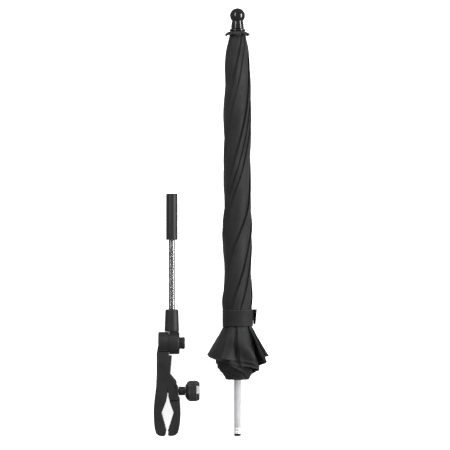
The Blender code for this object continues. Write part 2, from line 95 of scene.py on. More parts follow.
# ---- node helpers for materials -----------------------------------------------------------------
class Looks:
    """One material's node tree, with short calls for the nodes that it uses."""

    def __init__(self, name, colour, roughness, metallic=0.0, specular=0.5):
        self.material = bpy.data.materials.new(name)
        self.material.use_nodes = True
        self.tree = self.material.node_tree
        self.shader = self.tree.nodes["Principled BSDF"]
        self.set(Roughness=roughness, Metallic=metallic)
        self.shader.inputs["Base Color"].default_value = (*colour, 1)
        self.shader.inputs["Specular IOR Level"].default_value = specular
        self.colour = colour
        self.normal = None
        self.where = self.node("ShaderNodeTexCoord").outputs["Object"]

    def set(self, **values):
        """Constants on the shader's own sockets; an underscore stands for a space."""
        for key, value in values.items():
            self.shader.inputs[key.replace("_", " ")].default_value = value

    def node(self, kind, **settings):
        """A new node with its settings."""
        made = self.tree.nodes.new(kind)
        for key, value in settings.items():
            setattr(made, key, value)
        return made

    def link(self, output, socket):
        self.tree.links.new(output, socket)

    def math(self, operation, first, second=None):
        """A Math node; an argument is a number or an output."""
        made = self.node("ShaderNodeMath", operation=operation)
        for number, value in enumerate((first, second)):
            if value is None:
                continue
            if isinstance(value, (int, float)):
                made.inputs[number].default_value = value
            else:
                self.link(value, made.inputs[number])
        return made.outputs[0]

    def noise(self, scale, detail=3.0, roughness=0.55, stretch=None, where=None):
        """Noise, of about scale blobs in a metre, stretched along an axis if asked."""
        source = where or self.where
        if stretch:
            mapping = self.node("ShaderNodeMapping")
            mapping.inputs["Scale"].default_value = stretch
            self.link(source, mapping.inputs["Vector"])
            source = mapping.outputs[0]
        made = self.node("ShaderNodeTexNoise")
        made.inputs["Scale"].default_value = scale
        made.inputs["Detail"].default_value = detail
        made.inputs["Roughness"].default_value = roughness
        self.link(source, made.inputs["Vector"])
        return made.outputs["Fac"]

    def between(self, value, low, high, start=0.0, end=1.0):
        """Map value from low..high to start..end, held at the ends."""
        made = self.node("ShaderNodeMapRange")
        for name, number in (("From Min", low), ("From Max", high), ("To Min", start), ("To Max", end)):
            made.inputs[name].default_value = number
        self.link(value, made.inputs["Value"])
        return made.outputs["Result"]

    def vary(self, value, dark, light):
        """Base colour between two multiples of the material's colour."""
        made = self.node("ShaderNodeMix", data_type="RGBA")
        self.link(value, made.inputs[0])
        made.inputs[6].default_value = (*(c * dark for c in self.colour), 1)
        made.inputs[7].default_value = (*(c * light for c in self.colour), 1)
        self.link(made.outputs[2], self.shader.inputs["Base Color"])
        return made

    def tint_over(self, mask, colour):
        """Lay a second colour over the base colour where mask is 1."""
        base = self.shader.inputs["Base Color"]
        made = self.node("ShaderNodeMix", data_type="RGBA")
        self.link(mask, made.inputs[0])
        if base.is_linked:
            self.link(base.links[0].from_socket, made.inputs[6])
        else:
            made.inputs[6].default_value = base.default_value
        made.inputs[7].default_value = (*colour, 1)
        self.link(made.outputs[2], base)

    def bump(self, height, distance, strength=1.0):
        """Add a bump on top of the ones before it; distance is in metres."""
        made = self.node("ShaderNodeBump")
        made.inputs["Strength"].default_value = strength
        made.inputs["Distance"].default_value = distance
        self.link(height, made.inputs["Height"])
        if self.normal:
            self.link(self.normal, made.inputs["Normal"])
        self.normal = made.outputs["Normal"]
        self.link(self.normal, self.shader.inputs["Normal"])

    def rough(self, value, low, high):
        """Roughness between two numbers."""
        self.link(self.between(value, 0.3, 0.7, low, high), self.shader.inputs["Roughness"])

    def edges(self, radius):
        """Mask of the edges, where a rounded normal leaves the face's own one."""
        rounded = self.node("ShaderNodeBevel", samples=4)
        rounded.inputs["Radius"].default_value = radius
        plain = self.node("ShaderNodeNewGeometry").outputs["Normal"]
        dot = self.node("ShaderNodeVectorMath", operation="DOT_PRODUCT")
        self.link(rounded.outputs[0], dot.inputs[0])
        self.link(plain, dot.inputs[1])
        return self.between(dot.outputs["Value"], 0.995, 0.90)


# ---- materials ----------------------------------------------------------------------------------
THREAD = 0.45 * MM
STITCH = 2.4 * MM


def cloth_material(name, colour, roughness, thread=THREAD, hem=0.0):
    """Plain woven cloth with sheen, creases and, along a hem, a double row of stitches."""
    look = Looks(name, colour, roughness, specular=0.16)
    look.set(Sheen_Weight=0.05, Sheen_Roughness=0.4)
    look.shader.inputs["Sheen Tint"].default_value = (0.8, 0.82, 0.86, 1)
    weave = look.node("ShaderNodeUVMap", uv_map="cloth").outputs["UV"]
    parts = look.node("ShaderNodeSeparateXYZ")
    look.link(weave, parts.inputs[0])
    warp = look.math("SINE", look.math("MULTIPLY", parts.outputs["X"], 2 * pi / thread))
    weft = look.math("SINE", look.math("MULTIPLY", parts.outputs["Y"], 2 * pi / thread))
    look.vary(look.between(look.noise(38, 5), 0.3, 0.7), 0.80, 1.18)
    look.rough(look.noise(160), roughness - 0.08, roughness + 0.06)
    look.bump(look.noise(95, 4, 0.6), 0.9 * MM, 0.30)
    look.bump(look.noise(420, 2), 0.25 * MM, 0.25)
    look.bump(look.math("MULTIPLY", warp, weft), 0.05 * MM, 0.35)
    if hem:
        rim = look.node("ShaderNodeUVMap", uv_map="hem").outputs["UV"]
        along = look.node("ShaderNodeSeparateXYZ")
        look.link(rim, along.inputs[0])
        run = look.math("SINE", look.math("MULTIPLY", along.outputs["X"], 2 * pi / STITCH))
        dash = look.between(run, -0.5, -0.2)
        offset = look.math("ABSOLUTE", look.math("SUBTRACT", along.outputs["Y"], hem * 0.8))
        row = look.between(offset, 0.28 * MM, 0.12 * MM)
        stitches = look.math("MULTIPLY", dash, row)
        look.tint_over(stitches, (0.045, 0.045, 0.047))
        look.bump(stitches, 0.25 * MM, 0.8)
    return look.material


def moulded_material(name, colour, roughness, grain=0.05 * MM, wear_and_highlight=0.10, radius=0.5 * MM,
                     specular=0.3):
    """Injection-moulded plastic: fine grain, handling marks, and paler edges that are partly rubbed wear and
    partly a painted highlight.
    """
    look = Looks(name, colour, roughness, specular=specular)
    smudge = look.noise(60, 4)
    look.vary(look.between(smudge, 0.3, 0.7), 0.85, 1.15)
    look.rough(smudge, roughness - 0.06, roughness + 0.08)
    look.bump(look.noise(2600, 2), grain, 0.35)
    # Paler edges, broken up by noise: partly rubbed wear, partly a painted highlight along every edge.
    broken = look.between(look.noise(300, 3), 0.35, 0.6)
    worn_and_highlit = look.math("MULTIPLY", look.edges(radius), look.math("MULTIPLY", broken, wear_and_highlight / 0.1))
    look.tint_over(look.math("MINIMUM", worn_and_highlit, 1.0), tuple(wear_and_highlight for _ in range(3)))
    return look.material


def gloss_material():
    """Polished black plastic with a clear lustre and faint dust and hairlines."""
    look = Looks("gloss_black", (0.006, 0.006, 0.0066), 0.16, specular=0.45)
    look.set(Coat_Weight=0.25, Coat_Roughness=0.06)
    dust = look.between(look.noise(700, 3, 0.7), 0.62, 0.75)
    look.vary(dust, 1.0, 2.2)
    look.rough(look.noise(45, 4), 0.12, 0.24)
    look.bump(look.noise(240, 2, stretch=(1, 6, 1)), 0.02 * MM, 0.3)
    return look.material


def pole_material():
    """Satin drawn tube: fine lines along it, faint tarnish round it."""
    look = Looks("satin_pole", (0.80, 0.80, 0.82), 0.3, 0.55)
    lines = look.noise(1500, 3, stretch=(1, 0.02, 1))
    look.vary(look.between(look.noise(70, 4, stretch=(1, 0.4, 1)), 0.3, 0.7), 0.86, 1.08)
    look.rough(lines, 0.24, 0.40)
    look.bump(lines, 0.02 * MM, 0.5)
    return look.material


def wound_metal_material():
    """Bright wound strip of the gooseneck: polished crowns and darker roots."""
    look = Looks("wound_metal", (0.40, 0.40, 0.41), 0.20, 1.0)
    look.vary(look.between(look.noise(500, 3), 0.3, 0.7), 0.75, 1.1)
    look.rough(look.noise(900, 3), 0.14, 0.26)
    look.bump(look.noise(2200, 2), 0.015 * MM, 0.5)
    return look.material


def frame_steel_material():
    """Drawn steel wire of ribs, pins and screws, slightly dulled."""
    look = Looks("frame_steel", (0.44, 0.44, 0.45), 0.34, 1.0)
    look.vary(look.between(look.noise(180, 5), 0.3, 0.72), 0.7, 1.1)
    look.rough(look.noise(700, 3, stretch=(1, 0.1, 1)), 0.25, 0.45)
    look.bump(look.noise(1800, 2, stretch=(1, 0.1, 1)), 0.02 * MM, 0.5)
    return look.material


CANOPY_CLOTH = cloth_material("canopy_cloth", (0.0145, 0.0147, 0.0154), 0.62, hem=2.8 * MM)
STRAP_TAPE = cloth_material("strap_tape", (0.0115, 0.0116, 0.0120), 0.66, 0.8 * MM, hem=1.6 * MM)
# The loose end's tape is a much darker copy of the strap tape: painted shade for the shadow it lies in.
SHADED_TAB_TAPE = cloth_material("tab_tape", (0.0030, 0.0030, 0.0033), 0.85, 0.8 * MM)
GLOSS = gloss_material()
# Moulded plastics: their paler edges are partly wear and partly a painted highlight, strongest on the knob.
SATIN = moulded_material("satin_black", (0.0128, 0.0128, 0.0134), 0.44, wear_and_highlight=0.04)
DARK = moulded_material("dark_black", (0.0060, 0.0060, 0.0063), 0.40, wear_and_highlight=0.03, specular=0.2)
KNOB = moulded_material("knob_black", (0.0130, 0.0130, 0.0136), 0.26, 0.02 * MM, 0.16, 0.9 * MM, 0.6)
BUTTON = moulded_material("button_black", (0.0120, 0.0120, 0.0126), 0.34, 0.02 * MM, 0.05)
POLE_METAL = pole_material()
NECK_METAL = wound_metal_material()
STEEL = frame_steel_material()


# ---- mesh helpers -------------------------------------------------------------------------------
def new_object(name, mesh, look, sharp=40):
    """Link a mesh as an object, shaded smooth with sharp edges kept."""
    made = bpy.data.objects.new(name, mesh)
    bpy.context.collection.objects.link(made)
    mesh.materials.append(look)
    mesh.shade_smooth()
    mesh.set_sharp_from_angle(angle=radians(sharp))
    return made


def turned(name, profile, axis, centre, look, sides=96, closed=False):
    """A turned piece from (radius, distance along axis) points."""
    turn = Vector((0, 0, 1)).rotation_difference(Vector(axis)).to_matrix().to_4x4()
    matrix = Matrix.Translation(centre) @ turn
    bm = bmesh.new()
    rings = []
    for radius, height in profile:
        count = 1 if radius < 1e-7 else sides
        ring = []
        for step in range(count):
            angle = 2 * pi * step / sides
            point = Vector((radius * cos(angle), radius * sin(angle), height))
            ring.append(bm.verts.new(matrix @ point))
        rings.append(ring)
    pairs = list(zip(rings, rings[1:]))
    if closed:
        pairs.append((rings[-1], rings[0]))
    for low, high in pairs:
        for step in range(sides):
            after = (step + 1) % sides
            corners = [low[step % len(low)], low[after % len(low)],
                       high[after % len(high)], high[step % len(high)]]
            face = list(dict.fromkeys(corners))
            if len(face) > 2:
                bm.faces.new(face)
    bmesh.ops.recalc_face_normals(bm, faces=bm.faces)
    mesh = bpy.data.meshes.new(name)
    bm.to_mesh(mesh)
    bm.free()
    return new_object(name, mesh, look)


def round_corner(centre, radius, start, end, steps=5):
    """Profile points on an arc, in degrees."""
    angles = [radians(start + (end - start) * step / steps) for step in range(steps + 1)]
    return [(centre[0] + radius * cos(a), centre[1] + radius * sin(a)) for a in angles]


def grid_mesh(name, points, cloth_uv, hem_uv=None, wrap=False):
    """A mesh from a (rows, columns, 3) array of points, with its cloth coordinates."""
    rows, columns = points.shape[:2]
    index = np.arange(rows * columns).reshape(rows, columns)
    across = index if not wrap else np.concatenate([index, index[:, :1]], axis=1)
    faces = np.stack([across[:-1, :-1], across[:-1, 1:], across[1:, 1:], across[1:, :-1]], axis=-1)
    faces = faces.reshape(-1, 4)
    mesh = bpy.data.meshes.new(name)
    mesh.from_pydata(points.reshape(-1, 3).tolist(), [], faces.tolist())
    corner = np.empty(len(mesh.loops), int)
    mesh.loops.foreach_get("vertex_index", corner)
    for label, coordinates in (("cloth", cloth_uv), ("hem", hem_uv)):
        if coordinates is not None:
            layer = mesh.uv_layers.new(name=label)
            flat = coordinates.reshape(-1, 2)[corner]
            layer.data.foreach_set("uv", flat.astype(np.float32).ravel())
    return mesh


def joined(name, meshes, look, sharp=60):
    """One object from several meshes with the same coordinate layers."""
    parts = [new_object(f"{name}_{number}", mesh, look, sharp) for number, mesh in enumerate(meshes)]
    with bpy.context.temp_override(active_object=parts[0], object=parts[0],
                                   selected_objects=parts, selected_editable_objects=parts):
        bpy.ops.object.join()
    parts[0].name = name
    parts[0].data.name = name
    return parts[0]


def solidify(piece, thickness, offset=0.0):
    """Give a sheet its thickness."""
    made = piece.modifiers.new("thickness", "SOLIDIFY")
    made.thickness = thickness
    made.offset = offset
    return piece


def attach(piece, body, slot_name, *replaced):
    """Ride on a body and stand for CAD nodes; slot_name is not used."""
    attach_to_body(piece, body)
    if replaced:
        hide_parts(*replaced)
    return piece


# ---- camera, light and floor --------------------------------------------------------------------
VIEW_WIDTH = 0.630
CAMERA_HEIGHT = 4.0
SENSOR = 36.0


def set_camera():
    """Camera straight above the lying object, far enough away to show little perspective."""
    data = bpy.data.cameras.new("camera")
    data.sensor_width = SENSOR
    data.lens = SENSOR * (CAMERA_HEIGHT - POLE.z) / VIEW_WIDTH
    camera = bpy.data.objects.new("camera", data)
    camera.location = (0.0190, -0.0042, CAMERA_HEIGHT)
    bpy.context.collection.objects.link(camera)
    bpy.context.scene.camera = camera


def softbox(name, direction, distance, size, power, mirrored=True):
    """A rectangular softbox that faces the object; a fill isn't mirrored in glossy pieces."""
    data = bpy.data.lights.new(name, "AREA")
    data.shape = "RECTANGLE"
    data.size, data.size_y = size
    data.energy = power
    lamp = bpy.data.objects.new(name, data)
    lamp.location = Vector(direction).normalized() * distance
    facing = lamp.location.normalized()
    across = Vector((0, 1, 0)).cross(facing).normalized()
    along = facing.cross(across)
    lamp.matrix_world = Matrix.Translation(lamp.location) @ Matrix(
        (across, along, facing)).transposed().to_4x4()
    lamp.visible_glossy = mirrored
    bpy.context.collection.objects.link(lamp)


def set_light():
    """Two long strips beside the object, a fill at its top and at its foot, and a dim room."""
    softbox("strip_right", (0.86, 0.16, 0.47), 2.0, (0.30, 1.7), 52)
    softbox("strip_left", (-0.56, 0.40, 0.73), 2.0, (0.16, 1.5), 17)
    softbox("fill_top", (0.18, 1.0, 0.85), 2.4, (1.8, 1.2), 58, False)
    softbox("fill_foot", (-0.1, -1.0, 0.75), 2.4, (1.8, 1.2), 14, False)
    world = bpy.data.worlds.new("studio")
    world.use_nodes = True
    world.node_tree.nodes["Background"].inputs["Color"].default_value = (1, 1, 1, 1)
    world.node_tree.nodes["Background"].inputs["Strength"].default_value = 0.26
    bpy.context.scene.world = world
    bpy.context.scene.view_settings.view_transform = "Standard"


FLOOR_GLOW = 0.85


def make_floor():
    """A plain white floor with a glow of its own, as a light table has, so that no shadow shows."""
    half = 6.0
    mesh = bpy.data.meshes.new("floor")
    mesh.from_pydata([(-half, -half, 0), (half, -half, 0), (half, half, 0), (-half, half, 0)], [],
                     [(0, 1, 2, 3)])
    look = Looks("pale_floor", (0.93, 0.93, 0.93), 0.9, specular=0.0)
    look.vary(look.noise(3), 0.995, 1.0)
    look.set(Emission_Strength=FLOOR_GLOW)
    look.shader.inputs["Emission Color"].default_value = (1, 1, 1, 1)
    floor = bpy.data.objects.new("floor", mesh)
    mesh.materials.append(look.material)
    bpy.context.collection.objects.link(floor)
    floor.location.z = -0.0004
    floor.visible_glossy = False


# ---- furled canopy ------------------------------------------------------------------------------
# Heights are along the pole; angles go from the right side over the front to the left.
ROLL_TOP = 0.2618
STRAP_TOP, STRAP_FOOT = reach("tie_strap", 1)[1], reach("tie_strap", 1)[0]
ROLL_OUTLINE = ((0.262, 11.2), (0.2576, 12.6), (0.249, 14.6), (0.241, 15.8), (0.218, 17.2),
                (0.185, 18.3), (0.160, 19.4), (0.130, 19.9), (0.100, 19.3), (0.060, 19.3),
                (0.028, 19.7), (-0.017, 20.5), (-0.050, 20.0), (-0.073, 19.9), (-0.106, 21.6),
                (-0.1165, 21.0), (-0.1225, 20.0), (-0.1460, 20.0), (-0.152, 20.6), (-0.165, 22.6),
                (-0.185, 26.0), (-0.1945, 27.8), (-0.208, 26.6), (-0.2150, 22.6), (-0.2205, 17.8))
FOLD_CROSSINGS = (0.217, 0.181, 0.095, 0.069, 0.047, -0.028, -0.099, -0.157)
HEM_TIPS = (-0.1950, -0.1872, -0.1890, -0.1900, -0.1880, -0.1862, -0.1905, -0.2005)
ROLL_FOOT = -0.2203
INNER_RADIUS = 11.9 * MM
FOLD_STEP = 1.6 * MM
CREVICE_DEPTH = 2.0 * MM
CREVICE_WIDTH = radians(7)
SKIRT_CREVICE = 6.0 * MM
FLARE = 17.0 * MM
FLARE_LENGTH = 40 * MM
STRAP_HOLD = 13 * MM
PETAL_FOOT = -0.205
SWIRL_TOP = -0.191
FLOOR_GAP = 0.25 * MM
FRONT_ROOM = 29 * MM
SKIRT_REACH = 44.6 * MM
PRESS_BELOW = 17 * MM
PRESS_ABOVE = 22 * MM
LANDING = 6 * MM
NEAR_FOLD = (0, 1.5, 3.5, 6, 9, 13, 18, 24, 31, 38, 46, 55, 65, 76, 88, 100, 114, 130)
WRAP_STEPS = 26
WRAP_RATE = 25              # radians of wrap for each metre below the roll's top
HEM_ROWS = (3.4, 2.9, 2.8, 1.5, 0.4, 0.0)


def twist(height):
    """Angle through which the folds have wound at a height; it stops under the strap."""
    held = np.maximum(height, STRAP_FOOT)
    bend = np.vectorize(erf)((held + 0.005) / 0.09)
    splay = radians(150) * np.minimum(height - STRAP_FOOT, 0)
    return -radians(660) * held - radians(33.5) * bend + splay


def fold_angle(number, height):
    """Where one fold's edge stands at a height."""
    return radians(90) + twist(height) - twist(np.array(FOLD_CROSSINGS[number]))


def outline_radius(height):
    """Outside radius of the roll, smoothed along the pole."""
    heights = [h for h, _ in reversed(ROLL_OUTLINE)]
    radii = [r * MM for _, r in reversed(ROLL_OUTLINE)]
    total = 0
    for shift in (-4 * MM, 0, 4 * MM):
        total = total + np.interp(height + shift, heights, radii)
    return total / 3


def held_by_strap(height):
    """1 at the middle of the strap, falling to 0 a little above and below it."""
    return np.exp(-((height - (STRAP_TOP + STRAP_FOOT) / 2) / STRAP_HOLD) ** 2)


def into_skirt(height, most=1.0):
    """0 at the strap's foot and above, rising to 1 over the length of the flare."""
    return np.clip((STRAP_FOOT - height) / FLARE_LENGTH, 0, most)


def creases(angle, height):
    """Wrinkles shared by all layers, so that no layer crosses another."""
    wound = angle - twist(height)
    tied = held_by_strap(height)
    near = np.exp(-((height - STRAP_TOP - 9 * MM) / (14 * MM)) ** 2)
    loose = 0.45 * np.sin(angle + 74 * height) + 0.30 * np.sin(2 * angle - 51 * height + 1.3)
    loose += 0.30 * np.sin(13 * wound + 20 * height) * np.exp(-((height - 0.235) / 0.03) ** 2)
    loose += 0.12 * np.sin(5 * wound + 36 * height) + 0.08 * np.sin(11 * wound - 60 * height + 2)
    gathered = 0.22 * np.sin(17 * wound + 40 * height) + 0.16 * np.sin(29 * wound + 1)
    under = into_skirt(height)
    front = np.clip(np.sin(angle), 0, 1)
    petals = 2.3 * front * np.sin(5 * angle - 150 * height + 0.6)
    petals += 0.7 * np.sin(7 * angle + 95 * height)
    in_foot = np.clip((SWIRL_TOP - height) / (6 * MM), 0, 1)
    swirl = 1.5 * front * np.sin(7 * angle - 900 * height) * in_foot
    pleats = 0.5 * np.sin(26 * angle) * np.exp(-((height - STRAP_FOOT + 7 * MM) / (6 * MM)) ** 2)
    return MM * ((1 - tied) * (loose + near * gathered) + under ** 1.3 * petals + pleats + swirl)


def crevices(angle, height):
    """Depth of the groove that runs along the uncovered side of every fold edge."""
    depth = 0
    under = into_skirt(height) * np.clip((height - PETAL_FOOT) / (10 * MM), 0, 1)
    width = CREVICE_WIDTH * (1 + 0.8 * under)
    for number in range(len(FOLD_CROSSINGS)):
        past = (angle - fold_angle(number, height)) % (2 * pi)
        depth = depth + (1 - np.exp(-past / radians(1.2))) * np.exp(-(past / width) ** 2)
    return depth * (CREVICE_DEPTH + SKIRT_CREVICE * under)


def layer_radius(back, wound, angle, height):
    """Radius of a layer; back is the angle behind its fold edge, wound the whole wrap there."""
    tied = held_by_strap(height)
    outside = outline_radius(height)
    step = FOLD_STEP * (1 - 0.75 * tied) * np.clip((ROLL_TOP - height) / 0.03 + 0.25, 0, 1)
    first = np.clip(back / radians(50), 0, 1)
    deep = np.clip((back - radians(50)) / np.maximum(wound - radians(50), 0.1), 0, 1)
    inner = np.minimum(INNER_RADIUS, outside - step - 0.5 * MM)
    radius = outside - step * first ** 0.75 - (outside - step - inner) * deep
    lift = 0.35 * MM * (1 - tied) * np.exp(-back / radians(5))
    flare = FLARE * into_skirt(height, 1.1) * np.clip(1 - back / radians(115), 0, 1) ** 1.3
    return radius + lift + flare


def relief(radius, angle, height):
    """Wrinkles and grooves at a place on a layer; deep layers get less, so that none cross."""
    tied = held_by_strap(height)
    grooves = crevices(angle, height) * (1 - tied) * np.clip((ROLL_TOP - height) / 0.03 + 0.2, 0, 1)
    outside = outline_radius(height)
    share = np.clip((radius - INNER_RADIUS) / (outside - INNER_RADIUS), 0, 1)
    return (creases(angle, height) - grooves) * share


def settle(points):
    """Lay the wide rings on the floor and press the front ones down; the order is kept."""
    across, depth = points[..., 0] - POLE.x, points[..., 2] - POLE.z
    room = POLE.z - FLOOR_GAP
    below = np.maximum(-depth - PRESS_BELOW, 0)
    above = np.maximum(depth - PRESS_ABOVE, 0)
    left = room - PRESS_BELOW
    pressed = left * (1 - np.exp(-below / left))
    high = FRONT_ROOM - PRESS_ABOVE
    rise = high * (1 - np.exp(-above / high))
    depth = np.where(depth < -PRESS_BELOW, -PRESS_BELOW - pressed, depth)
    depth = np.where(depth > PRESS_ABOVE, PRESS_ABOVE + rise, depth)
    spread = 1 + 0.04 * np.clip(below / (10 * MM), 0, 1)
    points[..., 0] = POLE.x + np.clip(across * spread, -SKIRT_REACH, SKIRT_REACH)
    points[..., 2] = POLE.z + depth
    return points


def furled_gore(number):
    """One gore folded in two and wound round the frame, as a grid with cloth coordinates."""
    last = NEAR_FOLD[-1]
    plain = np.linspace(ROLL_TOP, STRAP_FOOT, 96)
    wound_at_foot = WRAP_RATE * (ROLL_TOP - STRAP_FOOT)
    columns = []
    for place in [*NEAR_FOLD, *(last + (turn + 1) for turn in range(WRAP_STEPS))]:
        fixed = min(place, last)
        share = max(place - last, 0) / WRAP_STEPS
        above = np.maximum(radians(150), WRAP_RATE * (ROLL_TOP - plain))
        back_above = radians(fixed) + share * (above - radians(last))
        back_foot = radians(fixed) + share * (wound_at_foot - radians(last))
        tip = HEM_TIPS[number]
        hem = tip + (ROLL_FOOT - tip) * min(back_foot / radians(150), 1) ** 1.25
        lower = np.linspace(STRAP_FOOT, hem + 4.2 * MM, 46)[1:]
        hem_heights = np.array([hem + distance * MM for distance in HEM_ROWS])
        heights = np.concatenate([plain, lower, hem_heights])
        below = len(heights) - len(plain)
        back = np.concatenate([back_above, np.full(below, back_foot)])
        wound = np.concatenate([above, np.full(below, wound_at_foot)])
        columns.append((back, wound, heights, heights - hem))
    back, wound, heights, to_hem = (np.stack(values, axis=1) for values in zip(*columns))
    angle = fold_angle(number, heights) - back
    radius = layer_radius(back, wound, angle, heights)
    band = 0.22 * MM * ((to_hem < 2.85 * MM) & (to_hem > -MM))
    gap = 0.12 * MM + 0.32 * MM * np.exp(-back / radians(4))
    outer = radius + band
    inner = np.maximum(radius - gap - band, 11.3 * MM)
    loop_angle = fold_angle(number, heights[:, :1]) + radians(0.8)
    loop_radius = (outer[:, :1] + inner[:, :1]) / 2
    angles = np.concatenate([angle[:, ::-1], loop_angle, angle], axis=1)
    radii = np.concatenate([inner[:, ::-1], loop_radius, outer], axis=1)
    tall = np.concatenate([heights[:, ::-1], heights[:, :1], heights], axis=1)
    rim = np.concatenate([to_hem[:, ::-1], to_hem[:, :1], to_hem], axis=1)
    width = np.concatenate([-back[:, ::-1], back[:, :1] * 0, back], axis=1) * 16 * MM
    points = np.stack([POLE.x + radii * np.cos(angles), tall, POLE.z + radii * np.sin(angles)], axis=-1)
    points = settle(points)
    lifted = relief(radii, angles, tall) * np.clip((points[..., 2] - FLOOR_GAP) / LANDING, 0, 1)
    points[..., 0] += lifted * np.cos(angles)
    points[..., 2] = np.maximum(points[..., 2] + lifted * np.sin(angles), FLOOR_GAP)
    return grid_mesh(f"gore_{number}", points, np.stack([width, tall], axis=-1),
                     np.stack([width, rim], axis=-1))


def make_furled_canopy():
    """All eight gores wound round the frame, from the notch down to the gathered foot."""
    meshes = [furled_gore(number) for number in range(len(FOLD_CROSSINGS))]
    canopy = joined("furled_canopy", meshes, CANOPY_CLOTH, sharp=75)
    attach(canopy, "umbrella", "canopy_fabric", "canopy_roll")
    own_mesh(canopy)
    return canopy


# ---- open canopy --------------------------------------------------------------------------------
def joint(name):
    """A joint's row in the frame."""
    return next(row for row in frame["joints"] if row["name"] == name)


RIBS = 8
OPEN_ANGLE = radians(78)
BLEND_WIDTH = 4 * MM
RIB_HINGE_R = 9.5 * MM
RIB_REACH = 0.4692
NOTCH_Y = 0.256
OVER_RIBS = 2.0 * MM
CANOPY_SAG = 4 * MM
NOTCH_CLEAR = 10.4 * MM
SEAM_LAP = 1.4 * MM


def rib_directions(number):
    """Outward and sideways directions of a rib."""
    angle = radians(22.5) + 2 * pi * number / RIBS
    outward = np.array([cos(angle), 0, sin(angle)])
    sideways = np.array([-sin(angle), 0, cos(angle)])
    return outward, sideways


def ease_inverse(target):
    """x in 0..1 for which BLEND_WIDTH * x + spread * smoothstep(x) reaches target."""
    spread = RIB_REACH * sin(pi / 4)
    low, high = np.zeros_like(target), np.ones_like(target)
    for _ in range(40):
        guess = (low + high) / 2
        value = BLEND_WIDTH * guess + spread * guess * guess * (3 - 2 * guess)
        low = np.where(value < target, guess, low)
        high = np.where(value < target, high, guess)
    return (low + high) / 2


def open_gore(number, canopy_hem):
    """One spread gore, laid back along its rib where the frame is closed."""
    outward, sideways = rib_directions(number)
    across = np.append(np.linspace(0, 1, 25), 1.0)[None, :]
    rows = np.concatenate([np.linspace(0, 1, 40)[:-1] ** 0.9, [0.992, 0.9945, 1.0]])[:, None]
    edge = 1 - canopy_hem * 4 * across * (1 - across)
    reach_out = NOTCH_CLEAR + (RIB_REACH - NOTCH_CLEAR) * rows * edge
    lap, under_next = np.zeros_like(across), np.zeros_like(across)
    lap[0, -1] = SEAM_LAP
    under_next[0, -2:] = 0.35 * MM, 0.80 * MM
    share = across * reach_out / RIB_REACH
    ease = ease_inverse(share * RIB_REACH * sin(pi / 4) + lap)
    along = (reach_out - RIB_HINGE_R) / sin(OPEN_ANGLE)
    sag = CANOPY_SAG * 4 * across * (1 - across) * rows
    lift = OVER_RIBS - sag - under_next + 0.5 * MM * np.exp(-((across * (1 - across)) / 0.012) ** 2)
    hinge = np.array([POLE.x, NOTCH_Y, POLE.z]) + RIB_HINGE_R * outward
    rest = hinge + outward * lift[..., None] - np.array(UP) * along[..., None]
    rest = rest + sideways * (BLEND_WIDTH * ease)[..., None]
    cloth_uv = np.stack([share * 0.36, reach_out + 0 * across], axis=-1)
    hem_uv = np.stack([share * 0.36, (1 - rows) * edge * RIB_REACH + 0 * across], axis=-1)
    mesh = grid_mesh(f"open_gore_{number + 1}", rest, cloth_uv, hem_uv)
    gore = new_object(f"open_gore_{number + 1}", mesh, CANOPY_CLOTH, 70)
    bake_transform(gore)
    solidify(gore, 0.25 * MM, 1.0)
    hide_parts(f"gore_{number + 1}")
    return gore


def make_open_canopy():
    """Eight gores, each laid back along its closed rib."""
    return [open_gore(number, 0.035) for number in range(RIBS)]


# ---- ruffle, strap and tab ----------------------------------------------------------------------
def make_ruffle():
    """Gathered cloth washer under the collar, its wavy rim turned down over the roll."""
    angles = np.linspace(0, 2 * pi, 181)[:-1][None, :]
    steps = np.linspace(0, 1, 22)[:, None]
    wave = 0.6 * np.sin(9 * angles + 0.6) + 0.3 * np.sin(14 * angles + 2.1) + 0.25 * np.sin(5 * angles)
    radius = 6.2 + 11.0 * steps + 0.9 * wave * steps ** 2
    drop = 0.9 * steps + 3.8 * steps ** 3 + 2.0 * wave * steps ** 2
    drop += 0.18 * np.sin(34 * angles) * np.exp(-((steps - 0.45) / 0.2) ** 2)
    height = reach("ruffle", 1)[1] - MM * drop
    radius = radius * MM
    points = np.stack([POLE.x + radius * np.cos(angles), height + 0 * angles,
                       POLE.z + radius * np.sin(angles)], axis=-1)
    arc = angles * 14 * MM + 0 * steps
    uv = np.stack([arc, radius + 0 * angles], axis=-1)
    rim = np.stack([arc, (1 - steps) * 10.6 * MM + 0 * angles], axis=-1)
    ruffle = new_object("ruffle_cloth", grid_mesh("ruffle_cloth", points, uv, rim, wrap=True),
                        CANOPY_CLOTH, 80)
    solidify(ruffle, 0.9 * MM)
    attach(ruffle, "umbrella", "canopy_fabric", "ruffle")
    return ruffle


def make_strap():
    """Tie strap drawn tight round the roll, with folded edges and an overlapping end."""
    overlap = radians(70)
    angles = np.linspace(radians(-60), radians(300) + overlap, 200)[None, :]
    share = np.linspace(0, 1, 15)[:, None]
    height = STRAP_TOP + (STRAP_FOOT - STRAP_TOP) * share
    past = np.clip((angles - radians(300)) / radians(10), 0, 1)
    bulge = 0.25 * np.sin(pi * share) ** 0.5
    edge = 0.06 * np.exp(-(np.minimum(share, 1 - share) / 0.09) ** 2)
    dents = 0.16 * np.sin(3 * angles + 1) + 0.10 * np.sin(7 * angles + 40 * share)
    radius = MM * (20.55 + bulge + edge + dents * np.sin(pi * share) + 0.6 * past)
    rise = MM * (0.5 * np.sin(angles + 0.6) + 0.25 * np.sin(4 * angles))
    points = np.stack([POLE.x + radius * np.cos(angles), height + rise,
                       POLE.z + radius * np.sin(angles)], axis=-1)
    arc = angles * 20.6 * MM + 0 * share
    uv = np.stack([arc, height + 0 * angles], axis=-1)
    to_edge = np.minimum(share, 1 - share) * (STRAP_TOP - STRAP_FOOT) + 0 * angles
    strap = new_object("tie_strap_band", grid_mesh("tie_strap_band", points, uv,
                                                   np.stack([arc, to_edge], axis=-1)), STRAP_TAPE, 70)
    solidify(strap, 0.5 * MM, 0.6)
    attach(strap, "umbrella", "strap_webbing", "tie_strap")
    return strap


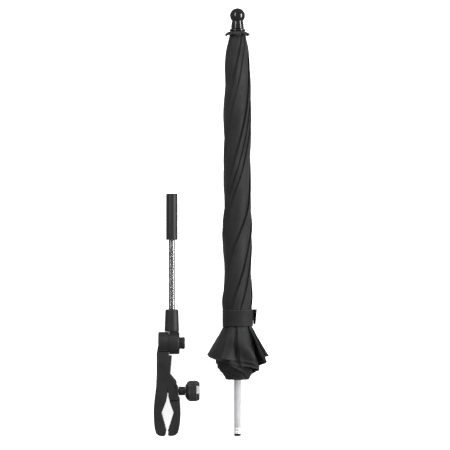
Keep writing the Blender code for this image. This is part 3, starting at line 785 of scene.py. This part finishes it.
def make_tab():
    """Tapered loose end of the strap, a folded loop standing out at the side."""
    low, high = (Vector(corner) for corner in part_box("strap_end"))
    share = np.linspace(0, 1, 18)[:, None]
    turn = np.linspace(0, 2 * pi, 33)[:-1][None, :]
    left = low.x - 0.4 * MM + 1.0 * MM * share
    right = high.x - 1.9 * MM * share
    centre, half = (left + right) / 2, (right - left) / 2
    thick = MM * (1.1 - 0.2 * share)
    shape = np.sign(np.cos(turn)) * np.abs(np.cos(turn)) ** 0.5
    points = np.stack([centre + half * shape,
                       high.y + (low.y - high.y) * share + 0.4 * MM * np.cos(turn),
                       (low.z + high.z) / 2 + thick * np.sin(turn)
                       + 1.1 * MM * np.sin(pi * share) * shape], axis=-1)
    uv = np.stack([turn * 2 * MM + 0 * share, share * 20 * MM + 0 * turn], axis=-1)
    # The tab wears the darker tape: painted shade.
    tab = new_object("strap_tab", grid_mesh("strap_tab", points, uv, wrap=True), SHADED_TAB_TAPE, 60)
    attach(tab, "umbrella", "strap_webbing", "strap_end")
    return tab


# ---- umbrella's hard pieces ---------------------------------------------------------------------
def make_ball_cap():
    """Gloss ball on a waisted neck, with a parting bead under the ball."""
    ball_r = 10.7 * MM
    centre = TOP_Y - ball_r
    low = reach("ball_cap", 1)[0]
    neck = [(4.2 * MM, low), (8.6 * MM, 0.2703)]
    neck += round_corner((8.6 * MM, 0.2708), 0.5 * MM, -90, 0, 3)
    neck += [(8.85 * MM, 0.2745), (8.6 * MM, 0.2772), (8.05 * MM, 0.2793), (7.75 * MM, 0.2806)]
    ball = round_corner((0, centre), ball_r, -42, 88, 26)
    cap = turned("ball_cap_gloss", [*neck, *ball, (0, TOP_Y)], UP, (POLE.x, 0, POLE.z), GLOSS, 128)
    attach(cap, "umbrella", "gloss_black_plastic", "ball_cap")


def make_collar():
    """Flat gloss collar with rounded rims and a fine groove."""
    low, high = reach("ferrule_collar", 1)
    outer, mid = 11.3 * MM, (low + high) / 2
    profile = [(5.5 * MM, low), (outer - 0.8 * MM, low)]
    profile += round_corner((outer - 0.8 * MM, low + 0.8 * MM), 0.8 * MM, -90, 0, 4)
    profile += [(outer - 0.15 * MM, mid)]
    profile += round_corner((outer - 0.8 * MM, high - 0.8 * MM), 0.8 * MM, 0, 90, 4)
    profile += [(9.6 * MM, high), (9.5 * MM, high - 0.2 * MM), (5.5 * MM, high - 0.2 * MM)]
    collar = turned("ferrule_collar_gloss", profile, UP, (POLE.x, 0, POLE.z), GLOSS, 128, closed=True)
    attach(collar, "umbrella", "gloss_black_plastic", "ferrule_collar")


def make_pole():
    """Drawn tube with two rolled grooves near its foot, over the end plug."""
    low, high = reach("pole_tube", 1)
    outer, bore = 5.0 * MM, 4.25 * MM
    profile = [(bore, high), (outer - 0.2 * MM, high), (outer, high - 0.2 * MM)]
    for groove in (low + 8.2 * MM, low + 4.2 * MM):
        profile += [(outer, groove + 0.75 * MM), (outer - 0.3 * MM, groove + 0.3 * MM),
                    (outer - 0.3 * MM, groove - 0.3 * MM), (outer, groove - 0.75 * MM)]
    profile += [(outer, low + 0.4 * MM), (outer - 0.4 * MM, low), (bore, low)]
    pole = turned("pole_drawn", profile, UP, (POLE.x, 0, POLE.z), POLE_METAL, 96, closed=True)
    attach(pole, "umbrella", "pole_metal", "pole_tube")


def make_rib_tips():
    """Small rounded caps where the cloth is sewn to each rib, and a crimp above them."""
    for number in range(1, RIBS + 1):
        centre = middle(f"rib_{number}")
        low = reach(f"rib_{number}", 1)[0]
        cap = [(0, low + 0.1 * MM), (1.5 * MM, low + 0.3 * MM), (2.25 * MM, low + 1.2 * MM),
               (2.35 * MM, low + 3.0 * MM), (2.1 * MM, low + 5.2 * MM), (1.6 * MM, low + 6.4 * MM),
               (1.6 * MM, low + 9.5 * MM), (1.35 * MM, low + 10 * MM), (0, low + 10 * MM)]
        piece = turned(f"rib_tip_{number}", cap, UP, (centre.x, 0, centre.z), STEEL, 24)
        attach(piece, f"rib_{number}", "frame_steel")


# ---- gooseneck ----------------------------------------------------------------------------------
RIDGE = 1.35 * MM
NECK_R = 4.5 * MM
ROOT_DEPTH = 0.55 * MM
RIDGE_SHAPE = ((0.06, 0.42), (0.20, 0.12), (0.38, 0.0), (0.62, 0.0), (0.80, 0.12), (0.94, 0.42))
BEND_END = 9.7 * MM


def ridged(name, low, high, centre):
    """A length of wound neck: one crown and one root for each turn of the strip."""
    profile = [(0, low), (NECK_R - ROOT_DEPTH, low)]
    count = max(1, round((high - low) / RIDGE))
    pitch = (high - low) / count
    for turn in range(count):
        start = low + turn * pitch
        for share, depth in RIDGE_SHAPE:
            profile.append((NECK_R - depth * MM, start + share * pitch))
    profile += [(NECK_R - ROOT_DEPTH, high), (0, high)]
    return turned(name, profile, UP, centre, NECK_METAL, 48)


def make_gooseneck():
    """Wound metal neck from socket to sleeve, in ridged lengths that each span a hinge."""
    hinges = [joint(f"neck_bend_{number}")["pos_m"][1] for number in range(1, 6)]
    foot, top = reach("neck_segment_1", 1)[0], reach("neck_segment_6", 1)[1]
    centre = (NECK.x, 0, NECK.z)
    halves = [(low + high) / 2 for low, high in zip(hinges, hinges[1:])]
    first = ridged("neck_in_socket", foot, hinges[0] - BEND_END, centre)
    attach(first, "tilt_head", "neck_metal", "neck_segment_1")
    starts = [hinges[0] - BEND_END, *halves]
    ends = [*halves, hinges[-1] + BEND_END]
    for number, (low, high) in enumerate(zip(starts, ends)):
        piece = ridged(f"neck_bend_length_{number + 1}", low, high, centre)
        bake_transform(piece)
        if 0 < number:
            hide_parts(f"neck_segment_{number + 1}")
    last = ridged("neck_in_sleeve", ends[-1], top, centre)
    attach(last, "sleeve", "neck_metal", "neck_segment_6")


# ---- clamp's turned and faceted pieces ----------------------------------------------------------
def make_sleeve():
    """Pole sleeve with a rounded mouth and a scalloped foot."""
    low, high = reach("pole_sleeve", 1)
    outer, bore = 8.05 * MM, 5.3 * MM
    profile = [(bore, high - 1.0 * MM)]
    profile += round_corner((bore + 0.7 * MM, high - 0.7 * MM), 0.7 * MM, 170, 90, 4)
    profile += round_corner((outer - 1.3 * MM, high - 1.3 * MM), 1.3 * MM, 90, 0, 6)
    profile += [(outer, low + 0.9 * MM)]
    profile += round_corner((outer - 0.6 * MM, low + 0.6 * MM), 0.6 * MM, 0, -90, 4)
    profile += [(4.9 * MM, low), (4.9 * MM, low + 11 * MM), (0, low + 11 * MM),
                (0, -9 * MM), (bore, -9 * MM)]
    sleeve = turned("pole_sleeve_moulding", profile, UP, (NECK.x, 0, NECK.z), SATIN, 96)
    for vertex in sleeve.data.vertices:
        if vertex.co.y < low + 2 * MM:
            side = (vertex.co.x - NECK.x) / outer
            arch = max(0.0, 1 - (side / 0.62) ** 2)
            vertex.co.y += 1.5 * MM * arch * max(0.0, 1 - (vertex.co.y - low) / (2 * MM))
    attach(sleeve, "sleeve", "matte_black_plastic", "pole_sleeve")


def make_button():
    """Release button with a groove round it and a domed face."""
    low, high = reach("release_button", 0)
    radius = 8.5 * MM
    profile = [(0, low), (radius, low), (radius, high - 6.4 * MM), (radius - 0.7 * MM, high - 6.1 * MM),
               (radius - 0.7 * MM, high - 5.0 * MM), (radius, high - 4.7 * MM)]
    profile += round_corner((radius - 1.7 * MM, high - 1.9 * MM), 1.7 * MM, 0, 80, 7)
    profile += [(3.5 * MM, high - 0.05 * MM), (0, high)]
    button = turned("release_button_cap", profile, SIDE, (0, TILT.y, TILT.z), BUTTON, 96)
    attach(button, "release_button", "inner_black_plastic", "release_button")


SPRING_TURNS = 4


def make_button_spring():
    """Coil spring behind the release button."""
    low, high = reach("button_spring", 0)
    wire, coil = 0.35 * MM, 5.2 * MM
    along = np.linspace(0, 1, 24 * SPRING_TURNS + 1)[:, None]
    turn = 2 * pi * SPRING_TURNS * along
    around = np.linspace(0, 2 * pi, 9)[:-1][None, :]
    radius = coil + wire * np.cos(around)
    points = np.stack([low + wire + (high - low - 2 * wire) * along + wire * np.sin(around),
                       TILT.y + radius * np.cos(turn), TILT.z + radius * np.sin(turn)], axis=-1)
    spring = new_object("button_coil_spring", grid_mesh("button_coil_spring", points, None, wrap=True),
                        STEEL)
    attach(spring, "tilt_head", "frame_steel", "button_spring")
    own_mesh(spring)


KNOB_SIDES = 6
KNOB_TURN = radians(20)


def make_knob():
    """Six-sided knob, waisted on the side of the screw and cut back at its outer end."""
    low, high = reach("clamp_knob", 0)
    wide = 14.6 * MM
    neck_end = high - 20.0 * MM
    profile = [(0, low), (3.2 * MM, low), (3.2 * MM, neck_end), (8.0 * MM, neck_end),
               (wide * 0.80, neck_end + 2.2 * MM), (wide, neck_end + 5.6 * MM),
               (wide, high - 4.2 * MM), (wide - 2.4 * MM, high - 0.1 * MM),
               (wide - 2.7 * MM, high), (0, high)]
    knob = turned("clamp_knob_grip", profile, SIDE, (0, SCREW.y, SCREW.z), KNOB, 96)
    sector = 2 * pi / KNOB_SIDES
    for vertex in knob.data.vertices:
        y, z = vertex.co.y - SCREW.y, vertex.co.z - SCREW.z
        if sqrt(y * y + z * z) < 4 * MM:
            continue
        local = (np.arctan2(z, y) - KNOB_TURN + sector / 2) % sector - sector / 2
        scale = min(1.06 * cos(sector / 2) / cos(local), 1.0)
        vertex.co.y = SCREW.y + y * scale
        vertex.co.z = SCREW.z + z * scale
    knob.data.set_sharp_from_angle(angle=radians(18))
    attach(knob, "clamp_knob", "inner_black_plastic", "clamp_knob")


def dress_cad_nodes():
    """Bevelled edges and procedural materials on the CAD nodes that stay."""
    by_slot = {"gloss_black_plastic": GLOSS, "matte_black_plastic": SATIN,
               "inner_black_plastic": DARK, "pole_metal": POLE_METAL, "neck_metal": NECK_METAL,
               "frame_steel": STEEL, "canopy_fabric": CANOPY_CLOTH, "strap_webbing": STRAP_TAPE}
    slots = {row["node"]: row["material_slot"] for row in frame["record"]["subparts"]}
    for name, node in nodes.items():
        if node.hide_render:
            continue
        for number in range(max(1, len(node.material_slots))):
            if node.material_slots:
                node.material_slots[number].material = by_slot[slots[name]]
            else:
                node.data.materials.append(by_slot[slots[name]])
    for name, width, limit in (("clamp_body", 0.3, 40), ("moving_jaw", 0.3, 40),
                               ("neck_socket", 0.6, 28), ("thrust_collar", 0.3, 28)):
        node = nodes[name]
        planar = node.modifiers.new("merge_flats", "DECIMATE")
        planar.decimate_type = "DISSOLVE"
        planar.angle_limit = radians(2)
        rounding = node.modifiers.new("rounded_edges", "BEVEL")
        rounding.width = width * MM
        rounding.segments = 3
        rounding.limit_method = "ANGLE"
        rounding.angle_limit = radians(limit)
        rounding.use_clamp_overlap = True
        rounding.harden_normals = False


# ---- the whole scene ----------------------------------------------------------------------------
set_camera()
set_light()
make_floor()

canopy = make_furled_canopy()
gores = make_open_canopy()
ruffle = make_ruffle()
strap = make_strap()
tab = make_tab()
make_ball_cap()
make_collar()
make_pole()
make_rib_tips()
make_gooseneck()
make_sleeve()
make_button()
make_button_spring()
make_knob()
dress_cad_nodes()

for piece in (strap, tab):
    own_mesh(piece)
